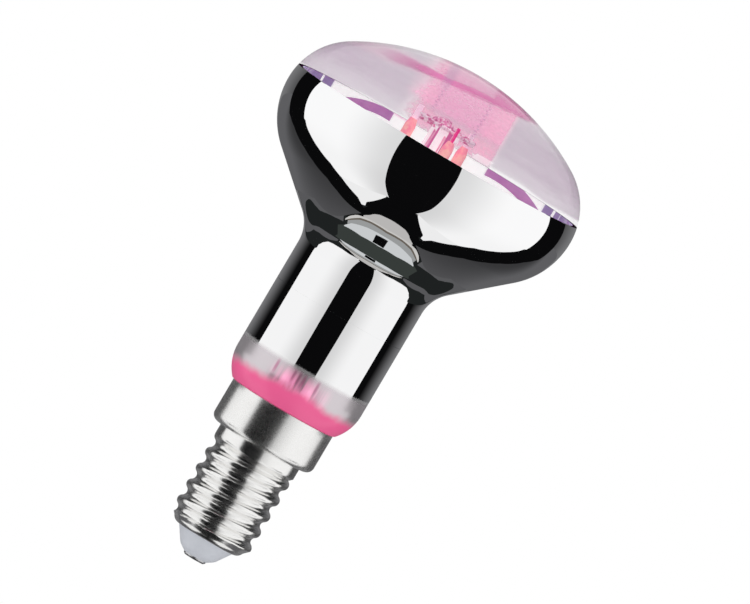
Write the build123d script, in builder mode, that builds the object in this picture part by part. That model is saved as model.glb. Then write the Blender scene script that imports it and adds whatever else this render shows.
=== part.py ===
from build123d import *
from math import acos, asin, cos, degrees, radians, sin
import os

os.makedirs("parts", exist_ok=True)

# Reflector bulb with a clear dome, a mirrored bell and neck and a small screw cap.
# All sizes are in millimetres. The origin is the underside of the centre contact,
# and +Z is the lamp's axis, from the contact to the crown of the dome.

# Blown glass: five arcs and a cone, each tangent to the next
lamp_height = 85.89
bulb_radius = 25.0
rim_radius = 11.15
dome_angle = 59.0
bell_radius = 12.7
cone_angle = 48.6
throat_radius = 5.95
neck_radius = 10.95
shoulder_radius = 7.2
shoulder_rise = 11.8
glass_wall = 0.7
seat_overhang = 0.3
neck_end_clearance = 0.6
neck_end_rise = 1.2

# Mirror layer on the inside of the bell and the neck
coat_gap = 0.05
coat_thickness = 0.1
coat_rise = 2.3
coat_clearance = 0.3

# Screw cap: a drawn shell with a round thread, Edison size 14
thread_major_radius = 6.925
thread_depth = 0.75
thread_pitch = 2.822
thread_lead_in = 0.98
groove_half_width = 0.11
ridge_foot_depth = 0.2
ridge_waist_half_width = 0.72
ridge_waist_share = 0.52
ridge_crest_half_width = 0.25
thread_run_out = 1.4
cap_sheet = 0.3
lip_height = 3.65
lip_radius = 1.25
lip_ledge = 0.47
barrel_length = 14.55
collar_overhang = 0.025
collar_length = 1.9
skirt_step = 1.85
skirt_corner = 1.2
seat_gap = 0.03

# Insulator and contact under the cap
contact_radius = 1.9
contact_thickness = 0.4
contact_bevel = 0.25
shank_radius = 0.8
shank_tail = 0.2
fit_gap = 0.02
insulator_foot_radius = 1.95
insulator_knee_radius = 3.05
insulator_knee_height = 1.15
insulator_bend = 1.8
flange_thickness = 1.43

# Cement ring between the glass neck and the skirt
cement_gap = 0.03
cement_rise = 1.0
cement_cover = 0.25

# Glass stem: flare, pinch, exhaust tube and the column between the filaments
rim_rise = 2.42
rim_thickness = 0.95
stem_tube_clearance = 0.53
stem_tube_wall = 0.7
flare_rise = 6.5
closure_rise = 3.5
closure_thickness = 1.0
pinch_length = 6.0
pinch_width = 11.0
pinch_thickness = 3.6
exhaust_radius = 1.5
exhaust_bore = 0.8
exhaust_clearance = 2.0
exhaust_seal = 1.0
blow_hole_rise = 2.5
blow_hole_radius = 0.6
column_clearance = 1.43
column_cover = 0.71
column_chamfer = 0.4

# Filaments: a flat strip inside a coated rod, three around the column
filament_count = 3
filament_circle = 5.4
filament_azimuth = 46.4
strip_width = 0.9
strip_thickness = 0.3
strip_upper_tail = 1.1
strip_lower_tail = 0.5
jacket_radius = 0.9
jacket_taper = 1.2
jacket_tip_inset = 0.35
jacket_upper_clearance = 1.05
jacket_lower_clearance = 1.65

# Wires
weld_gap = 0.01
bridge_radius = 0.25
bridge_overhang = 6.0
top_bridge_depth = 8.69
lower_bridge_rise = 2.8
lead_radius = 0.3
lead_tail = 0.8
lead_overlap = 2.0
support_depth = 1.6

# Driver board and its components inside the cap
board_clearance = 0.97
board_thickness = 0.8
board_rise = 1.0
board_margin = 2.25
capacitor_radius = 2.4
capacitor_rise = 2.0
capacitor_length = 8.0
rectifier_width = 4.6
rectifier_depth = 1.6
rectifier_height = 3.8
rectifier_clearance = 0.3
chip_width = 2.9
chip_depth = 1.0
chip_height = 1.7
chip_clearance = 0.85
chip_offset = 2.4
fuse_radius = 1.0
fuse_rise = 1.0
fuse_length = 4.8
fuse_offset = -2.4
fuse_lead_radius = 0.25
fuse_lead_rise = 0.6
hook_up_radius = 0.3
hook_up_offset = 0.8
hook_up_rise = 1.4
hook_up_length = 1.8

# Radii and heights of the cap that follow from the sizes above
barrel_radius = thread_major_radius - thread_depth
bore_radius = barrel_radius - cap_sheet
collar_radius = thread_major_radius + collar_overhang
skirt_radius = collar_radius + skirt_step
collar_height = lip_height + barrel_length
collar_step = collar_height - (collar_radius - barrel_radius)
skirt_height = collar_height + collar_length
floor_height = lip_height + cap_sheet
thread_first_crest = lip_height - thread_lead_in
ridge_foot_half_width = thread_pitch / 2 - groove_half_width
ridge_waist_radius = barrel_radius + thread_depth * ridge_waist_share
bevel_share = 2 - 2**0.5
lip_bevel = bevel_share * (lip_radius - cap_sheet)
skirt_bevel = bevel_share * (skirt_corner - cap_sheet)
lip_opening = bore_radius - lip_bevel - lip_ledge
insulator_waist = lip_opening - 5 * fit_gap
flange_radius = bore_radius - fit_gap
flange_height = floor_height + fit_gap
insulator_top = flange_height + flange_thickness
shank_height = insulator_top + shank_tail

# Arcs of the glass, from the seat on the skirt up to the crown
seat_radius = skirt_radius + seat_overhang
shoulder_height = skirt_height + shoulder_rise
shoulder_centre = neck_radius - shoulder_radius
shoulder_angle = degrees(acos((seat_radius - shoulder_centre) / shoulder_radius))
seat_height = shoulder_height - shoulder_radius * sin(radians(shoulder_angle))
skirt_top = seat_height - seat_gap
rim_centre = bulb_radius - rim_radius
dome_edge_radius = rim_centre + rim_radius * cos(radians(dome_angle))
dome_radius = dome_edge_radius / cos(radians(dome_angle))
dome_centre = lamp_height - dome_radius
dome_edge_height = dome_centre + dome_radius * sin(radians(dome_angle))
widest_height = dome_edge_height - rim_radius * sin(radians(dome_angle))
bell_centre = bulb_radius - bell_radius
throat_centre = neck_radius + throat_radius
cone_top_radius = bell_centre + bell_radius * cos(radians(cone_angle))
cone_top_height = widest_height - bell_radius * sin(radians(cone_angle))
cone_foot_radius = throat_centre - throat_radius * cos(radians(cone_angle))
cone_length = (cone_top_radius - cone_foot_radius) / sin(radians(cone_angle))
cone_foot_height = cone_top_height - cone_length * cos(radians(cone_angle))
throat_height = cone_foot_height - throat_radius * sin(radians(cone_angle))
neck_end_radius = skirt_radius - cap_sheet - neck_end_clearance
cement_bottom = skirt_height + skirt_corner + cement_rise
cement_top = skirt_top - cement_cover
neck_end_height = cement_bottom + neck_end_rise

# Wire circles, then the heights of the stem, the filaments and the mirror layer
lead_azimuth = filament_azimuth + 180 / filament_count
bridge_circle = filament_circle - strip_width / 2 - bridge_radius - weld_gap
bridge_start = lead_azimuth + 180 / filament_count - bridge_overhang
bridge_arc = 360 - 360 / filament_count + 2 * bridge_overhang
lead_circle = bridge_circle - bridge_radius - lead_radius - weld_gap
stem_tube_bore = lead_circle + lead_radius + stem_tube_clearance
stem_tube_radius = stem_tube_bore + stem_tube_wall
column_radius = lead_circle - lead_radius - column_clearance
rim_top = seat_height + rim_rise
flare_height = rim_top + flare_rise
closure_height = flare_height + closure_rise
pinch_bottom = closure_height + closure_thickness
pinch_top = pinch_bottom + pinch_length
blow_hole_height = pinch_bottom + blow_hole_rise
flare_seal_radius = shoulder_radius - glass_wall - coat_gap
flare_seal_angle = degrees(asin((shoulder_height - rim_top) / flare_seal_radius))
lower_bridge_height = pinch_top + lower_bridge_rise
top_bridge_height = lamp_height - glass_wall - top_bridge_depth
strip_bottom = lower_bridge_height - strip_lower_tail
strip_top = top_bridge_height + strip_upper_tail
jacket_bottom = lower_bridge_height + bridge_radius + jacket_lower_clearance
jacket_top = top_bridge_height - bridge_radius - jacket_upper_clearance
support_height = top_bridge_height - 2 * bridge_radius - weld_gap
column_top = support_height + column_cover
coat_top = widest_height + coat_rise
coat_bottom = rim_top + coat_clearance

# Places on the driver board, from the contact's shank upwards
board_front = lead_radius + weld_gap
board_back = board_front + board_thickness
back_seat = board_back + weld_gap
board_width = 2 * ((bore_radius**2 - board_back**2) ** 0.5 - board_clearance)
board_bottom = shank_height + board_rise
fuse_bottom = board_bottom + fuse_rise
fuse_top = fuse_bottom + fuse_length
fuse_lead_top = fuse_top + fuse_lead_rise
rectifier_bottom = fuse_lead_top + fuse_lead_radius + rectifier_clearance
board_top = rectifier_bottom + rectifier_height + board_margin
capacitor_bottom = board_bottom + capacitor_rise
hook_up_height = board_bottom + hook_up_rise
chip_bottom = hook_up_height + hook_up_length + chip_clearance
lead_bottom = board_top - lead_overlap
exhaust_tip = board_top + exhaust_clearance


def direction(azimuth):
    """Level unit vector at this azimuth around the lamp's axis."""
    return (cos(radians(azimuth)), sin(radians(azimuth)), 0)


def place(azimuth, distance, height):
    """Point at this azimuth, distance from the axis and height."""
    along = direction(azimuth)
    return (distance * along[0], distance * along[1], height)


def chord_plane(azimuth, distance):
    """Upright plane square to the azimuth: x runs across it and y is the height."""
    return Plane(
        origin=place(azimuth, distance, 0),
        x_dir=direction(azimuth + 90),
        z_dir=direction(azimuth),
    )


def radial_plane(azimuth):
    """Upright plane through the axis: x runs out at the azimuth and y is the height."""
    return Plane(origin=(0, 0, 0), x_dir=direction(azimuth), z_dir=direction(azimuth - 90))


def level_plane(height, azimuth=0.0):
    """Level plane at this height with its x axis at the azimuth."""
    return Plane(origin=(0, 0, height), x_dir=direction(azimuth), z_dir=(0, 0, 1))


def bulb_section(inset):
    """Half section of the bulb, drawn this far inside the outer glass surface."""
    with BuildSketch(Plane.XZ) as section:
        with BuildLine():
            dome = CenterArc((0, dome_centre), dome_radius - inset, dome_angle, 90 - dome_angle)
            CenterArc((rim_centre, widest_height), rim_radius - inset, 0, dome_angle)
            bell = CenterArc((bell_centre, widest_height), bell_radius - inset, -cone_angle, cone_angle)
            throat = CenterArc(
                (throat_centre, throat_height), throat_radius + inset, 180 - cone_angle, cone_angle
            )
            Line(bell @ 0, throat @ 0)
            shoulder = CenterArc(
                (shoulder_centre, shoulder_height), shoulder_radius - inset, -shoulder_angle, shoulder_angle
            )
            Line(throat @ 1, shoulder @ 1)
            tube_radius = neck_end_radius - inset
            foot = shoulder @ 0
            Polyline(
                foot,
                (tube_radius, foot.Y),
                (tube_radius, neck_end_height),
                (0, neck_end_height),
                dome @ 1,
            )
        make_face()
    return section.sketch


def cap_outside():
    """Half section of the drawn cap's outer surface, filled to the axis, without the thread."""
    with BuildSketch(Plane.XZ) as section:
        with BuildLine():
            lip_centre = (barrel_radius - lip_radius, lip_height + lip_radius)
            lip = CenterArc(lip_centre, lip_radius, -90, 90)
            corner_centre = (skirt_radius - skirt_corner, skirt_height + skirt_corner)
            corner = CenterArc(corner_centre, skirt_corner, -90, 90)
            Polyline(
                lip @ 1,
                (barrel_radius, collar_step),
                (collar_radius, collar_height),
                (collar_radius, skirt_height),
                corner @ 0,
            )
            Polyline(corner @ 1, (skirt_radius, skirt_top), (0, skirt_top), (0, lip_height), lip @ 0)
        make_face()
    return section.sketch


def cap_inside():
    """Half section of the hollow inside the cap, down to the opening in its lip."""
    with BuildSketch(Plane.XZ) as section:
        with BuildLine():
            Polyline(
                (0, skirt_top),
                (0, 0),
                (lip_opening, 0),
                (lip_opening, floor_height),
                (bore_radius - lip_bevel, floor_height),
                (bore_radius, floor_height + lip_bevel),
                (bore_radius, collar_step),
                (collar_radius - cap_sheet, collar_height),
                (collar_radius - cap_sheet, skirt_height + cap_sheet),
                (skirt_radius - cap_sheet - skirt_bevel, skirt_height + cap_sheet),
                (skirt_radius - cap_sheet, skirt_height + cap_sheet + skirt_bevel),
                (skirt_radius - cap_sheet, skirt_top),
                close=True,
            )
        make_face()
    return section.sketch


def save(piece, name):
    """Give the piece its name and write its STEP file."""
    piece.part.label = name
    export_step(piece.part, f"parts/{name}.step")


# Glass envelope: clear dome, bell, throat, neck and the tube end inside the skirt
with BuildPart() as glass_envelope:
    with BuildSketch(Plane.XZ):
        add(bulb_section(0))
        add(bulb_section(glass_wall), mode=Mode.SUBTRACT)
    revolve(axis=Axis.Z)
save(glass_envelope, "glass_envelope")

# Mirror coating: a thin lining from just above the widest ring down the neck
with BuildPart() as mirror_coating:
    with BuildSketch(Plane.XZ):
        add(bulb_section(glass_wall + coat_gap))
        add(bulb_section(glass_wall + coat_gap + coat_thickness), mode=Mode.SUBTRACT)
        with Locations((0, coat_bottom)):
            Rectangle(
                bulb_radius, coat_top - coat_bottom, align=(Align.MIN, Align.MIN), mode=Mode.INTERSECT
            )
    revolve(axis=Axis.Z)
save(mirror_coating, "mirror_coating")

# Thread ridge of the cap: a right-hand helix that fades out at the lip and runs into the collar
with BuildPart() as thread_ridge:
    with BuildLine() as thread_path:
        Helix(
            thread_pitch,
            collar_height - thread_first_crest,
            barrel_radius,
            center=(0, 0, thread_first_crest),
        )
    with BuildSketch(Plane.XZ):
        with Locations((0, thread_first_crest)):
            Polygon(
                (barrel_radius - ridge_foot_depth, -ridge_foot_half_width),
                (ridge_waist_radius, -ridge_waist_half_width),
                (thread_major_radius, -ridge_crest_half_width),
                (thread_major_radius, ridge_crest_half_width),
                (ridge_waist_radius, ridge_waist_half_width),
                (barrel_radius - ridge_foot_depth, ridge_foot_half_width),
                align=None,
            )
    sweep(path=thread_path.line, is_frenet=True)
    with BuildSketch(Plane.XZ):
        with BuildLine():
            run_out_foot = floor_height + fit_gap
            Polyline(
                (0, skirt_height - cap_sheet),
                (0, run_out_foot),
                (collar_radius - thread_run_out, run_out_foot),
                (collar_radius, run_out_foot + thread_run_out),
                (collar_radius, skirt_height - cap_sheet),
                close=True,
            )
        make_face()
    revolve(axis=Axis.Z, mode=Mode.INTERSECT)

# Screw cap: drawn lip, barrel, collar and skirt, with the thread rolled on the barrel
with BuildPart() as screw_cap:
    with BuildSketch(Plane.XZ):
        add(cap_outside())
    revolve(axis=Axis.Z)
    add(thread_ridge.part)
    with BuildSketch(Plane.XZ):
        add(cap_inside())
    revolve(axis=Axis.Z, mode=Mode.SUBTRACT)
save(screw_cap, "screw_cap")

# Cap insulator: a tapered plug held by the lip, with a hole for the contact's shank
with BuildPart() as cap_insulator:
    with BuildSketch(Plane.XZ):
        with BuildLine():
            hole_radius = shank_radius + fit_gap
            foot_height = contact_thickness + fit_gap
            FilletPolyline(
                (insulator_foot_radius, foot_height),
                (insulator_knee_radius, insulator_knee_height),
                (insulator_waist, lip_height),
                radius=insulator_bend,
            )
            Polyline(
                (insulator_waist, lip_height),
                (insulator_waist, flange_height),
                (flange_radius - lip_bevel, flange_height),
                (flange_radius, flange_height + lip_bevel),
                (flange_radius, insulator_top),
                (hole_radius, insulator_top),
                (hole_radius, foot_height),
                (insulator_foot_radius, foot_height),
            )
        make_face()
    revolve(axis=Axis.Z)
save(cap_insulator, "cap_insulator")

# Centre contact: a disc with a shank through the insulator
with BuildPart() as centre_contact:
    with BuildSketch(Plane.XZ):
        with BuildLine():
            Polyline(
                (0, 0),
                (contact_radius - contact_bevel, 0),
                (contact_radius, contact_bevel),
                (contact_radius, contact_thickness),
                (shank_radius, contact_thickness),
                (shank_radius, shank_height),
                (0, shank_height),
                close=True,
            )
        make_face()
    revolve(axis=Axis.Z)
save(centre_contact, "centre_contact")

# Basing cement: the ring that holds the glass neck in the skirt
with BuildPart() as basing_cement:
    with BuildSketch(level_plane(cement_bottom)):
        Circle(skirt_radius - cap_sheet - cement_gap)
        Circle(neck_end_radius + cement_gap, mode=Mode.SUBTRACT)
    extrude(amount=cement_top - cement_bottom)
save(basing_cement, "basing_cement")

# Glass stem: the flare sealed to the neck, the closed tube, the column and the tipped exhaust tube
with BuildPart() as glass_stem:
    with BuildSketch(Plane.XZ):
        with BuildLine():
            seal = CenterArc(
                (shoulder_centre, shoulder_height),
                flare_seal_radius,
                -shoulder_angle,
                shoulder_angle - flare_seal_angle,
            )
            rim_upper = seal @ 1 - Vector(rim_thickness, 0)
            rim_lower = seal @ 0 - Vector(rim_thickness, 0)
            Line(seal @ 1, rim_upper)
            TangentArc((stem_tube_radius, flare_height), rim_upper, tangent=(0, -1))
            Polyline(
                (stem_tube_radius, flare_height),
                (stem_tube_radius, pinch_bottom),
                (column_radius, pinch_bottom),
                (column_radius, column_top - column_chamfer),
                (column_radius - column_chamfer, column_top),
                (0, column_top),
                (0, exhaust_tip),
                (exhaust_bore, exhaust_tip),
                (exhaust_radius, exhaust_tip + exhaust_radius - exhaust_bore),
                (exhaust_radius, closure_height),
                (stem_tube_bore, closure_height),
                (stem_tube_bore, flare_height),
            )
            TangentArc((stem_tube_bore, flare_height), rim_lower, tangent=(0, -1))
            Line(rim_lower, seal @ 0)
        make_face()
    revolve(axis=Axis.Z)
    with BuildSketch(level_plane(pinch_bottom, lead_azimuth)):
        SlotOverall(pinch_width, pinch_thickness)
    extrude(amount=pinch_top - pinch_bottom)
    with BuildSketch(level_plane(closure_height, lead_azimuth)):
        with PolarLocations(lead_circle, 2):
            Circle(lead_radius + weld_gap)
    extrude(amount=pinch_top - closure_height, mode=Mode.SUBTRACT)
    with BuildSketch(level_plane(exhaust_tip + exhaust_seal)):
        Circle(exhaust_bore)
    extrude(amount=blow_hole_height - exhaust_tip - exhaust_seal, mode=Mode.SUBTRACT)
    with BuildSketch(chord_plane(lead_azimuth + 90, 0)):
        with Locations((0, blow_hole_height)):
            Circle(blow_hole_radius)
    extrude(amount=pinch_thickness, both=True, mode=Mode.SUBTRACT)
    with BuildSketch(chord_plane(lead_azimuth + 90, 0)):
        with Locations((0, support_height)):
            Circle(bridge_radius + weld_gap)
    extrude(amount=column_radius, both=True, mode=Mode.SUBTRACT)
save(glass_stem, "glass_stem")

# Filaments: each a flat strip with free ends, edge on to the column, inside a coated rod
for number in range(filament_count):
    azimuth = filament_azimuth + number * 360 / filament_count

    with BuildPart() as filament_strip:
        with BuildSketch(level_plane(strip_bottom, azimuth)):
            with Locations((filament_circle, 0)):
                Rectangle(strip_width, strip_thickness)
        extrude(amount=strip_top - strip_bottom)
    save(filament_strip, f"filament_strip_{number + 1}")

    with BuildPart() as filament_coat:
        with BuildSketch(radial_plane(azimuth)):
            with BuildLine():
                jacket_tip_radius = jacket_radius - jacket_tip_inset
                Polyline(
                    (filament_circle, jacket_bottom),
                    (filament_circle + jacket_tip_radius, jacket_bottom),
                    (filament_circle + jacket_radius, jacket_bottom + jacket_taper),
                    (filament_circle + jacket_radius, jacket_top - jacket_taper),
                    (filament_circle + jacket_tip_radius, jacket_top),
                    (filament_circle, jacket_top),
                    close=True,
                )
            make_face()
        revolve(axis=Axis(place(azimuth, filament_circle, 0), (0, 0, 1)))
        with BuildSketch(level_plane(jacket_bottom, azimuth)):
            with Locations((filament_circle, 0)):
                Rectangle(strip_width + 2 * weld_gap, strip_thickness + 2 * weld_gap)
        extrude(amount=jacket_top - jacket_bottom, mode=Mode.SUBTRACT)
    save(filament_coat, f"filament_coat_{number + 1}")

# Lower bridge: an open ring that joins the filaments' feet, with its gap at the longer lead
with BuildPart() as lower_bridge:
    with BuildSketch(radial_plane(bridge_start)):
        with Locations((bridge_circle, lower_bridge_height)):
            Circle(bridge_radius)
    revolve(axis=Axis.Z, revolution_arc=bridge_arc)
save(lower_bridge, "lower_bridge")

# Top bridge: a closed ring that joins the filaments' heads
with BuildPart() as top_bridge:
    with BuildSketch(radial_plane(filament_azimuth)):
        with Locations((bridge_circle, top_bridge_height)):
            Circle(bridge_radius)
    revolve(axis=Axis.Z)
save(top_bridge, "top_bridge")

# Lead wires, one up to the lower bridge and one past its gap up to the top bridge,
# and the wires that hold the top bridge to the column
for number, welded_height in enumerate((lower_bridge_height, top_bridge_height)):
    wire_azimuth = lead_azimuth + (number + 1) * 180

    with BuildPart() as lead_wire:
        with BuildSketch(Plane(place(wire_azimuth, lead_circle, lead_bottom))):
            Circle(lead_radius)
        extrude(amount=welded_height + lead_tail - lead_bottom)
    save(lead_wire, f"lead_wire_{number + 1}")

    with BuildPart() as support_wire:
        support_root = column_radius - support_depth
        with BuildSketch(chord_plane(wire_azimuth + 90, support_root)):
            with Locations((0, support_height)):
                Circle(bridge_radius)
        extrude(amount=bridge_circle + bridge_radius - support_root)
    save(support_wire, f"support_wire_{number + 1}")

# Driver board: upright in the barrel, soldered to both leads
with BuildPart() as driver_board:
    with BuildSketch(level_plane(board_bottom, lead_azimuth)):
        with Locations((0, board_front)):
            Rectangle(board_width, board_thickness, align=(Align.CENTER, Align.MIN))
    extrude(amount=board_top - board_bottom)
save(driver_board, "driver_board")

# Smoothing capacitor on the front of the board
with BuildPart() as smoothing_capacitor:
    with BuildSketch(level_plane(capacitor_bottom, lead_azimuth)):
        with Locations((0, board_front - weld_gap - capacitor_radius)):
            Circle(capacitor_radius)
    extrude(amount=capacitor_length)
save(smoothing_capacitor, "smoothing_capacitor")

# Bridge rectifier on the back of the board
with BuildPart() as bridge_rectifier:
    with BuildSketch(level_plane(rectifier_bottom, lead_azimuth)):
        with Locations((0, back_seat)):
            Rectangle(rectifier_width, rectifier_depth, align=(Align.CENTER, Align.MIN))
    extrude(amount=rectifier_height)
save(bridge_rectifier, "bridge_rectifier")

# Driver chip on the back of the board
with BuildPart() as driver_chip:
    with BuildSketch(level_plane(chip_bottom, lead_azimuth)):
        with Locations((chip_offset, back_seat)):
            Rectangle(chip_width, chip_depth, align=(Align.CENTER, Align.MIN))
    extrude(amount=chip_height)
save(driver_chip, "driver_chip")

# Fuse resistor: its upper lead goes to the board and its lower lead to the contact's shank
fuse_standoff = back_seat + fuse_radius
fuse_plane = level_plane(0, lead_azimuth)
with BuildPart() as fuse_resistor:
    with BuildSketch(level_plane(fuse_bottom, lead_azimuth)):
        with Locations((fuse_offset, fuse_standoff)):
            Circle(fuse_radius)
    extrude(amount=fuse_length)
    with BuildLine(fuse_plane) as upper_lead:
        Polyline(
            (fuse_offset, fuse_standoff, fuse_top),
            (fuse_offset, fuse_standoff, fuse_lead_top),
            (fuse_offset, back_seat, fuse_lead_top),
        )
    with BuildSketch(Plane(upper_lead.line @ 0, z_dir=upper_lead.line % 0)):
        Circle(fuse_lead_radius)
    sweep(path=upper_lead.line, transition=Transition.RIGHT)
    with BuildLine(fuse_plane) as lower_lead:
        shank_seat = shank_height + fuse_lead_radius + weld_gap
        Polyline(
            (fuse_offset, fuse_standoff, fuse_bottom),
            (fuse_offset, fuse_standoff, shank_seat),
            (0, 0, shank_seat),
        )
    with BuildSketch(Plane(lower_lead.line @ 0, z_dir=lower_lead.line % 0)):
        Circle(fuse_lead_radius)
    sweep(path=lower_lead.line, transition=Transition.RIGHT)
save(fuse_resistor, "fuse_resistor")

# Neutral wire from the back of the board to the wall of the barrel
wall_reach = ((bore_radius - fit_gap) ** 2 - (hook_up_offset + hook_up_radius) ** 2) ** 0.5
with BuildPart() as neutral_wire:
    with BuildLine(fuse_plane) as neutral_path:
        Polyline(
            (hook_up_offset, back_seat + hook_up_radius, hook_up_height + hook_up_length),
            (hook_up_offset, back_seat + hook_up_radius, hook_up_height),
            (hook_up_offset, wall_reach, hook_up_height),
        )
    with BuildSketch(Plane(neutral_path.line @ 0, z_dir=neutral_path.line % 0)):
        Circle(hook_up_radius)
    sweep(path=neutral_path.line, transition=Transition.RIGHT)
save(neutral_wire, "neutral_wire")
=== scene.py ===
import math

import bpy
from mathutils import Matrix, Vector


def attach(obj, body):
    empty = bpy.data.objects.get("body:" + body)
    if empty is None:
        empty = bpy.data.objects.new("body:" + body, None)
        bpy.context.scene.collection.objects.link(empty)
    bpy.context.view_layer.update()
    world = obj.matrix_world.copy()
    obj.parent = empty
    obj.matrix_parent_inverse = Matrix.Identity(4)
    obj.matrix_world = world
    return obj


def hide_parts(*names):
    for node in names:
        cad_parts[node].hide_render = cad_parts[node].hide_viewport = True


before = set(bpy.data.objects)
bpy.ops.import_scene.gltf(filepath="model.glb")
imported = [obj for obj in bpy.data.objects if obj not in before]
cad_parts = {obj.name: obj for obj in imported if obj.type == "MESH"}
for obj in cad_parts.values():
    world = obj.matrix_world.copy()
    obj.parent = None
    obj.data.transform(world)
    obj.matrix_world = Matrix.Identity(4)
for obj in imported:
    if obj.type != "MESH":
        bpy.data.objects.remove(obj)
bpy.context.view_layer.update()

# Sizes of the lamp in millimetres, as in the part's source
MM = 0.001
TINY = 1e-6
LAMP_HEIGHT = 85.89
BULB_RADIUS = 25.0
RIM_RADIUS = 11.15
DOME_ANGLE = 59.0
BELL_RADIUS = 12.7
CONE_ANGLE = 48.6
THROAT_RADIUS = 5.95
NECK_RADIUS = 10.95
SHOULDER_RADIUS = 7.2
SHOULDER_HEIGHT = 31.9
GLASS_WALL = 0.7
SEAT_RADIUS = 9.1
NECK_END_RADIUS = 7.9
NECK_END_HEIGHT = 23.5
FILM_GAP = 0.05
FILM_THICKNESS = 0.1
FILM_EDGE_ANGLE = 13.4
FILM_BOTTOM = 29.8
THREAD_MAJOR = 6.925
THREAD_PITCH = 2.822
THREAD_ROUND = 0.822
THREAD_DEPTH = 0.8
THREAD_FIRST_CREST = 2.67
THREAD_RUN_OUT = (5.55, 3.97)
BARREL_RADIUS = 6.125
CAP_SHEET = 0.3
LIP_HEIGHT = 3.65
LIP_RADIUS = 1.25
LIP_OPENING = 4.85
COLLAR_FOOT = 17.4
COLLAR_HEIGHT = 18.2
COLLAR_RADIUS = 6.95
SKIRT_HEIGHT = 20.1
SKIRT_RADIUS = 8.8
SKIRT_CORNER = 1.2
SKIRT_TOP = 27.05
SKIRT_EDGE = 0.14

# Bead of glass at the column's tip
KNOT_PLACE = (-1.0, 0.0, 76.5)
KNOT_HALF = (1.9, 1.6, 1.2)
KNOT_LUMPS = 0.08
KNOT_RINGS = 20

# Steps of the turned meshes, the angle of a sharp edge and a height inside the glass
SEGMENTS = 192
RUN_STEPS = {"dome": 40, "rim": 40, "edge": 14, "bell": 48, "throat": 40, "neck": 20, "shoulder": 30}
THREAD_ROWS = 150
SHARP_EDGE = 35.0
INNER_FINENESS = 0.5
GLASS_MIDDLE = 60.0

# Painted light of the filaments on the dome, a painted pink bow and a painted highlight: places across the
# lamp and levels up it. A pair is a soft edge
LEVEL_RISE = 0.046
FAR_SIDE = (-2.0, 2.0)
HAZE_LEFT = (-8.2, -4.2)
HAZE_RIGHT = (8.9, 7.9)
HAZE_FOOT = (73.2, 75.7)
HAZE_LOW = (78.6, 77.0)
HAZE_CROWN = (82.8, 83.6)
BOW_LEVEL = 83.25
BOW_SLOPE = 0.1
BOW_WIDTH = (0.95, 0.2)
BOW_WIDENING = (-13.0, -3.0)
BOW_LEFT = (-19.0, -5.0)
BOW_RIGHT = (15.0, 8.5)
BOW_END_FOOT = (82.2, 83.5)
BOW_END_LEFT = (1.0, 4.5)
BOW_END_RIGHT = (15.0, 7.5)
BEAD_LINES = ((-3.5, 77.6), (3.9, 77.0))
BEAD_TOP = (83.2, 82.6)
BEAD_RATE = 14.0
STREAK_ACROSS = -3.7
STREAK_FOOT = (80.0, 83.6)
HIGHLIGHT_ACROSS = 7.6
HIGHLIGHT_LEVEL = 75.0
CAST_FOOT = (74.5, 75.0)
CAST_RISE = (75.0, 78.0)
CAST_SIDES = (13.0, 19.0)
RIM_SHADE = (84.5, 79.0)

# Painted stripes of the filaments' light in the stem, painted pink glow, shine and marks in the foot of the
# neck, and painted reflections and glow inside the mirror's edge
STEM_TIP = (75.2, 75.8)
STEM_SIDES = ((0.85, 0.3, 0.12), (-1.2, 0.1, 0.1))
MIRROR_FOOT = (33.4, 34.4)
NECK_PINK_GLOW = (31.1, 29.2)
NECK_ROSY_GLOW = (34.0, 31.0)
NECK_PAINTED_SHINE = (34.2, 31.4)
NECK_LINES = (
    (-4.15, 0.1, 0.25), (-1.1, 0.05, 0.35), (-0.2, 0.05, 0.35), (0.65, 0.05, 0.35), (2.9, 0.05, 0.35),
)
NECK_LINES_TOP = (34.2, 32.8)
NECK_LINES_FOOT = (30.6, 32.4)
LEFT_PATCH = (72.75, 9.5, 0.035, 0.7)
RIGHT_PATCH = (73.25, 10.5, 0.032, 0.82)
PATCH_INNER = (8.2, 8.5)
PATCH_OUTER = (18.6, 18.9)
ROSY_ACROSS = -7.2
ROSY_FOOT = (73.0, 73.5)
FILM_LIT = (69.5, 71.0)

# Camera: the photograph's frame, scale, lean and height of view
FRAME_WIDTH = 750
PIXELS_PER_MM = 6.539
VIEW_CENTRE = (3.88, 0.0, 48.0)
VIEW_ELEVATION = 2.8
VIEW_LEAN = 30.6
VIEW_DISTANCE = 4.0
SENSOR_WIDTH = 36.0
CLIP_RANGE = (0.01, 20.0)

# Studio: soft boxes left and right of the camera, dark cards between, beside and behind them
PANEL_INNER = (13.7, -43.7)
PANEL_OUTER = (57.7, 5.5)
PANEL_SHARE = 0.866
LOW_PANEL_SHARE = 1.5
LOW_PANEL_TOP = 28.0
PANEL_BOTTOM = 4.4
PANEL_TOP = 120.0
CORNER_TOP = 40.0
CORNER_WIDTH = 2.4
CORNER_GAP = 0.1
CARD_BOTTOM = -78.0
BORDER_END = (50.0, 20.0)
NECK_BORDER_END = (50.0, 11.4)
NECK_BORDER_TOP = 49.0
CARD_DISTANCE = 130.0
CARD_SWEEP = (-60, 240)
CARD_STEPS = 24
SHELF_HEIGHT = 54.0
SHELF_SLOPE = 0.83
SHELF_FRONT = [
    (4.9, -17.4), (14.6, -18.3), (20.1, -17.6), (26.9, -14.8), (34.2, -11.2), (42.8, -6.5), (54.0, -1.3),
]
SHELF_MIDDLE = [
    (6.0, -16.65), (12.5, -14.3), (16.6, -12.2), (21.6, -10.1), (26.7, -7.1), (32.3, -2.3), (38.5, 3.5),
    (46.3, 13.8), (50.0, 20.0),
]
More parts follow.
